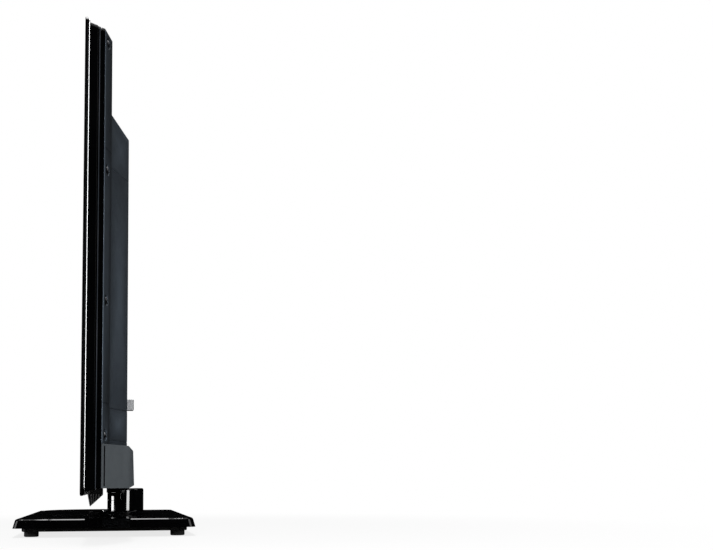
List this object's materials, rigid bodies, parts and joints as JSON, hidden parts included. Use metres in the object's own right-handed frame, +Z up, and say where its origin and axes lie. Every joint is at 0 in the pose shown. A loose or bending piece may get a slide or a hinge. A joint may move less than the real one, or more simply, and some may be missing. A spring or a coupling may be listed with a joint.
{
  "type": "flat screen tv",
  "caption": "Thin flat screen television with a glossy black frame, grey back cover and a swivelling round neck on a flat glossy rectangular base.",
  "frame": {"origin": "on the surface that the feet stand on, under the middle of the base", "axes": "+X to the viewer's right when facing the screen, +Y to the back, +Z up"},
  "size_m": [0.976, 0.258, 0.6625],
  "materials": {
    "gloss_black": "high gloss moulded",
    "black_cabinet": "gloss moulded",
    "bright_trim": "bright plated",
    "cover_grey": "fine spark texture",
    "lower_grey": "fine spark texture",
    "moulded_black": "satin moulded",
    "neck_black": "gloss moulded",
    "rubber": "matt",
    "screw_steel": "zinc plated",
    "pressed_steel": "galvanised",
    "painted_steel": "black powder coat",
    "socket_metal": "nickel plated",
    "cell_glass": "anti-glare polariser",
    "sheet_white": "matt white",
    "guide_clear": "clear acrylic",
    "board_green": "solder resist",
    "board_parts": "potted",
    "sink_metal": "extruded",
    "ribbon_white": "flat film",
    "jack_plastic": "moulded",
    "sensor_red": "dark infrared filter",
    "light_pipe": "clear moulded",
    "bearing_plastic": "low friction"
  },
  "bodies": {
    "stand_base": {"base_cover": "gloss_black", "base_plate": "painted_steel", "base_feet": "rubber", "base_screws": "screw_steel", "swivel_hub": "pressed_steel", "bearing_ring": "bearing_plastic"},
    "head": {"swivel_disc": "neck_black", "swivel_plate": "pressed_steel", "pivot_stud": "screw_steel", "pivot_nut": "screw_steel", "neck_column": "neck_black", "neck_post": "neck_black", "neck_collar": "neck_black", "neck_bracket": "pressed_steel", "chassis_bracket": "pressed_steel", "bracket_bolts": "screw_steel", "front_plate": "gloss_black", "trim_band": "bright_trim", "front_cabinet": "black_cabinet", "rear_cover": "cover_grey", "lower_cover": "lower_grey", "cover_screws": "screw_steel", "vent_grille": "moulded_black", "sensor_chin": "moulded_black", "sensor_window": "sensor_red", "sensor_board": "board_green", "indicator_light": "light_pipe", "cell_clamp_frame": "pressed_steel", "lcd_cell": "cell_glass", "sheet_frame": "moulded_black", "diffuser_sheets": "sheet_white", "light_guide": "guide_clear", "led_bars": "sheet_white", "reflector_sheet": "sheet_white", "chassis_pan": "pressed_steel", "source_boards": "board_green", "timing_board": "board_green", "ribbon_cables": "ribbon_white", "main_board": "board_green", "main_heat_sink": "sink_metal", "power_board": "board_parts", "power_parts": "board_parts", "board_posts": "screw_steel", "mount_posts": "screw_steel", "terminal_panel": "moulded_black", "hdmi_sockets": "socket_metal", "audio_jacks": "jack_plastic", "aerial_socket": "socket_metal", "mains_inlet": "moulded_black", "speaker_left": "moulded_black", "speaker_right": "moulded_black", "key_panel": "moulded_black", "key_board": "board_green"},
    "power_button": {"power_button": "cover_grey"},
    "menu_button": {"menu_button": "cover_grey"},
    "volume_up_button": {"volume_up_button": "cover_grey"},
    "volume_down_button": {"volume_down_button": "cover_grey"},
    "channel_up_button": {"channel_up_button": "cover_grey"},
    "channel_down_button": {"channel_down_button": "cover_grey"}
  },
  "joints": [
    {"name": "head_swivel", "type": "hinge", "parent": "stand_base", "child": "head", "pos_m": [0, -0.02, 0.0259], "axis": [0, 0, 1], "range_deg": [-20, 20]},
    {"name": "power_press", "type": "slide", "parent": "head", "child": "power_button", "axis": [0, -1, 0], "range_m": [0, 0.0005], "stiffness_N_per_m": 800},
    {"name": "menu_press", "type": "slide", "parent": "head", "child": "menu_button", "axis": [0, -1, 0], "range_m": [0, 0.0005], "stiffness_N_per_m": 800},
    {"name": "volume_up_press", "type": "slide", "parent": "head", "child": "volume_up_button", "axis": [0, -1, 0], "range_m": [0, 0.0005], "stiffness_N_per_m": 800},
    {"name": "volume_down_press", "type": "slide", "parent": "head", "child": "volume_down_button", "axis": [0, -1, 0], "range_m": [0, 0.0005], "stiffness_N_per_m": 800},
    {"name": "channel_up_press", "type": "slide", "parent": "head", "child": "channel_up_button", "axis": [0, -1, 0], "range_m": [0, 0.0005], "stiffness_N_per_m": 800},
    {"name": "channel_down_press", "type": "slide", "parent": "head", "child": "channel_down_button", "axis": [0, -1, 0], "range_m": [0, 0.0005], "stiffness_N_per_m": 800}
  ]
}
